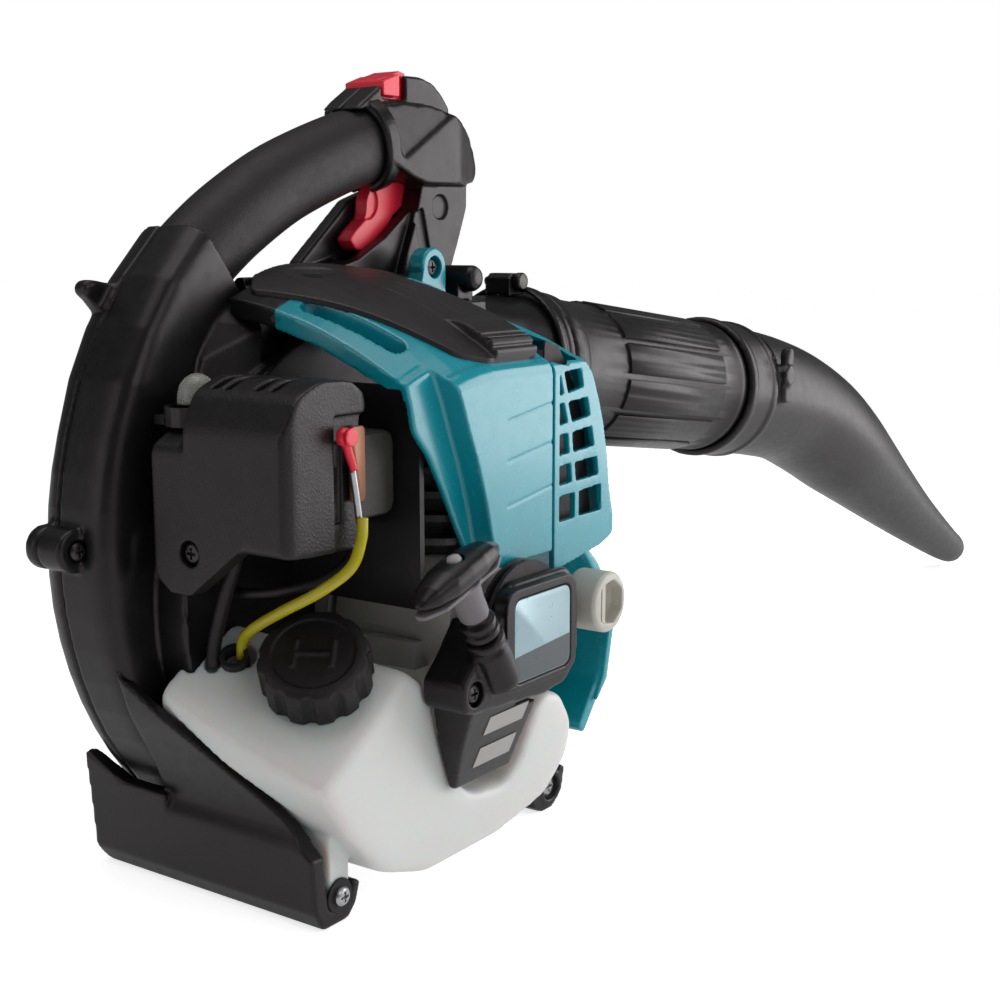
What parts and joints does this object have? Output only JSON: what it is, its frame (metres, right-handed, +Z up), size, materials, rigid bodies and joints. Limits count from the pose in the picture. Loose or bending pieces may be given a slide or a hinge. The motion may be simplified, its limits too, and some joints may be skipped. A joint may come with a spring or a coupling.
{
  "type": "hand-held leaf blower",
  "caption": "Hand-held petrol leaf blower: scroll fan housing, engine under teal covers, milky fuel tank, arched handle with trigger, and a curved tapering blow tube.",
  "frame": {"origin": "middle of the object's box in plan, on the plane its feet stand on", "axes": "+X forward to the nozzle tip, +Y to the air-intake side, +Z up"},
  "size_m": [0.917, 0.2284, 0.368],
  "materials": {
    "shell_black": "moulded nylon with a fine spark grain, semi-gloss on the pipes",
    "dark_plastic": "moulded glass-filled nylon, dull",
    "teal_cover": "glossy moulded plastic",
    "tank_white": "translucent milky polyethylene",
    "clear_bulb": "clear soft vinyl",
    "red_control": "satin moulded plastic",
    "soft_grip": "matt soft-touch elastomer",
    "black_rubber": "matt rubber",
    "cast_alloy": "die-cast, as cast",
    "plain_steel": "zinc-plated",
    "bronze_plate": "dull bronze-brown stamped plate",
    "yellow_line": "translucent yellow fuel tube",
    "bone_plastic": "off-white moulded nylon",
    "badge_blue": "satin blue-grey plate with a darker lower band",
    "filter_foam": "open-cell foam",
    "pull_rope": "braided black cord"
  },
  "bodies": {
    "housing": {"cylinder_shroud": "shell_black", "left_cover": "shell_black", "right_housing": "shell_black", "rear_foot": "shell_black", "front_foot": "shell_black", "starter_housing": "shell_black", "top_shroud": "shell_black", "air_cleaner_cover": "shell_black", "primer_base": "shell_black", "handle_left": "shell_black", "handle_right": "shell_black", "blower_pipe": "shell_black", "pipe_clamp": "shell_black", "strap_boss": "shell_black", "intake_guard": "dark_plastic", "ignition_coil": "dark_plastic", "air_cleaner_base": "dark_plastic", "engine_cover": "teal_cover", "grille_cover": "teal_cover", "lower_guard": "teal_cover", "cover_lug": "teal_cover", "fuel_tank": "tank_white", "handle_grip": "soft_grip", "plug_cap": "black_rubber", "tank_grommet": "black_rubber", "return_hose": "black_rubber", "crankcase": "cast_alloy", "cylinder": "cast_alloy", "carburettor": "cast_alloy", "spark_plug": "plain_steel", "muffler": "plain_steel", "lug_screw": "plain_steel", "air_cleaner_screw": "plain_steel", "trigger_pin": "plain_steel", "clamp_bolt": "plain_steel", "starter_screw": "plain_steel", "rear_lug_screw": "plain_steel", "rear_foot_screw": "plain_steel", "front_foot_screw": "plain_steel", "control_plate": "bronze_plate", "fuel_line": "yellow_line", "oil_filler": "bone_plastic", "badge_plate": "badge_blue", "air_filter": "filter_foam"},
    "rotor": {"fan_impeller": "dark_plastic", "crankshaft": "plain_steel", "fan_nut": "plain_steel", "flywheel": "cast_alloy"},
    "piston": {"piston": "cast_alloy"},
    "recoil_pulley": {"recoil_pulley": "dark_plastic"},
    "starter_grip": {"starter_grip": "shell_black", "starter_rope": "pull_rope"},
    "trigger": {"trigger": "red_control"},
    "stop_switch": {"stop_switch": "red_control"},
    "plug_cover": {"plug_cover": "shell_black"},
    "fuel_cap": {"fuel_cap": "black_rubber"},
    "oil_cap": {"oil_cap": "bone_plastic"},
    "choke_lever": {"choke_lever": "red_control"},
    "primer_bulb": {"primer_bulb": "clear_bulb"},
    "nozzle": {"nozzle": "shell_black"}
  },
  "joints": [
    {"name": "rotor_spin", "type": "hinge", "parent": "housing", "child": "rotor", "pos_m": [-0.305, -0.04915, 0.112], "axis": [0, 1, 0], "continuous": true},
    {"name": "piston_stroke", "type": "slide", "parent": "housing", "child": "piston", "axis": [0, 0, 1], "range_m": [0, 0.025]},
    {"name": "pulley_spin", "type": "hinge", "parent": "housing", "child": "recoil_pulley", "pos_m": [-0.305, -0.09695, 0.112], "axis": [0, 1, 0], "continuous": true},
    {"name": "starter_pull", "type": "slide", "parent": "housing", "child": "starter_grip", "axis": [-0.5201, 0, 0.8541], "range_m": [0, 0.45], "stiffness_N_per_m": 15, "springref_m": -0.5, "deforming": ["starter_rope"]},
    {"name": "trigger_squeeze", "type": "hinge", "parent": "housing", "child": "trigger", "pos_m": [-0.206, 0.04585, 0.316], "axis": [0, 1, 0], "range_deg": [0, 14], "stiffness_Nm_per_rad": 0.6, "springref_deg": -5.73},
    {"name": "stop_switch_slide", "type": "slide", "parent": "housing", "child": "stop_switch", "axis": [1, 0, 0], "range_m": [0, 0.005]},
    {"name": "plug_cover_lift", "type": "hinge", "parent": "housing", "child": "plug_cover", "pos_m": [-0.321, 0.02535, 0.2695], "axis": [-1, 0, 0], "range_deg": [0, 55]},
    {"name": "fuel_cap_turn", "type": "hinge", "parent": "housing", "child": "fuel_cap", "pos_m": [-0.391, -0.04915, 0.099], "axis": [-0.5203, -0.3352, 0.7855], "range_deg": [0, 360]},
    {"name": "oil_cap_turn", "type": "hinge", "parent": "housing", "child": "oil_cap", "pos_m": [-0.256, -0.10415, 0.115], "axis": [0, -1, 0], "range_deg": [0, 360]},
    {"name": "choke_turn", "type": "hinge", "parent": "housing", "child": "choke_lever", "pos_m": [-0.3915, -0.07415, 0.184], "axis": [0, 1, 0], "range_deg": [-25, 0]},
    {"name": "primer_press", "type": "slide", "parent": "housing", "child": "primer_bulb", "axis": [0, 0, -1], "range_m": [0, 0.005], "stiffness_N_per_m": 600},
    {"name": "nozzle_twist", "type": "hinge", "parent": "housing", "child": "nozzle", "pos_m": [-0.151, 0.01385, 0.213], "axis": [0.9874, -0.0864, -0.1323], "range_deg": [-30, 30]}
  ],
  "couplings": [
    {"joint": "pulley_spin", "follows": "starter_pull", "rad_per_m": 35.7}
  ]
}
